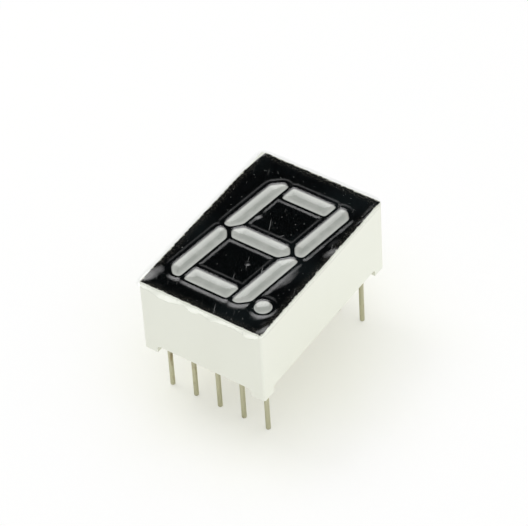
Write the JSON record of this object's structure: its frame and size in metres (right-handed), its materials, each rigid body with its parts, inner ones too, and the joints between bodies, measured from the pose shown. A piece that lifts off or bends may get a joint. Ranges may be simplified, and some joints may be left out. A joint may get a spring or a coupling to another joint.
{
  "type": "seven segment display",
  "caption": "Digit display with slanted light segments and a decimal point behind a black face, in a white moulded housing on two rows of round pins.",
  "frame": {"origin": "middle of the pin grid, in the plane of the housing's feet, where the display seats on a board", "axes": "+Z out of the face, +Y up the digit, +X to the digit's right, along its baseline"},
  "size_m": [0.0132, 0.02, 0.0141],
  "materials": {
    "housing": "moulded white plastic, fine satin texture",
    "face_ink": "black printed ink",
    "protective_film": "clear peel-off film, glossy",
    "light_guide": "cast milky epoxy",
    "led_chip": "polished semiconductor",
    "bond_wire": "drawn gold",
    "chip_glue": "silver filled glue",
    "copper": "etched copper",
    "circuit_board": "glass fibre laminate",
    "solder_joints": "reflowed solder",
    "back_fill": "cast epoxy with a slight meniscus",
    "pin": "dull tinned wire"
  },
  "bodies": {
    "root": {"housing": "housing", "face_ink": "face_ink", "protective_film": "protective_film", "light_guide_a": "light_guide", "light_guide_b": "light_guide", "light_guide_c": "light_guide", "light_guide_d": "light_guide", "light_guide_e": "light_guide", "light_guide_f": "light_guide", "light_guide_g": "light_guide", "light_guide_point": "light_guide", "led_chip_a": "led_chip", "led_chip_b": "led_chip", "led_chip_c": "led_chip", "led_chip_d": "led_chip", "led_chip_e": "led_chip", "led_chip_f": "led_chip", "led_chip_g": "led_chip", "led_chip_point": "led_chip", "bond_wire_a": "bond_wire", "bond_wire_b": "bond_wire", "bond_wire_c": "bond_wire", "bond_wire_d": "bond_wire", "bond_wire_e": "bond_wire", "bond_wire_f": "bond_wire", "bond_wire_g": "bond_wire", "bond_wire_point": "bond_wire", "chip_glue": "chip_glue", "copper_tracks": "copper", "circuit_board": "circuit_board", "copper_rings": "copper", "solder_joints": "solder_joints", "back_fill": "back_fill", "pin_1": "pin", "pin_2": "pin", "pin_3": "pin", "pin_4": "pin", "pin_5": "pin", "pin_6": "pin", "pin_7": "pin", "pin_8": "pin", "pin_9": "pin", "pin_10": "pin"}
  },
  "joints": []
}
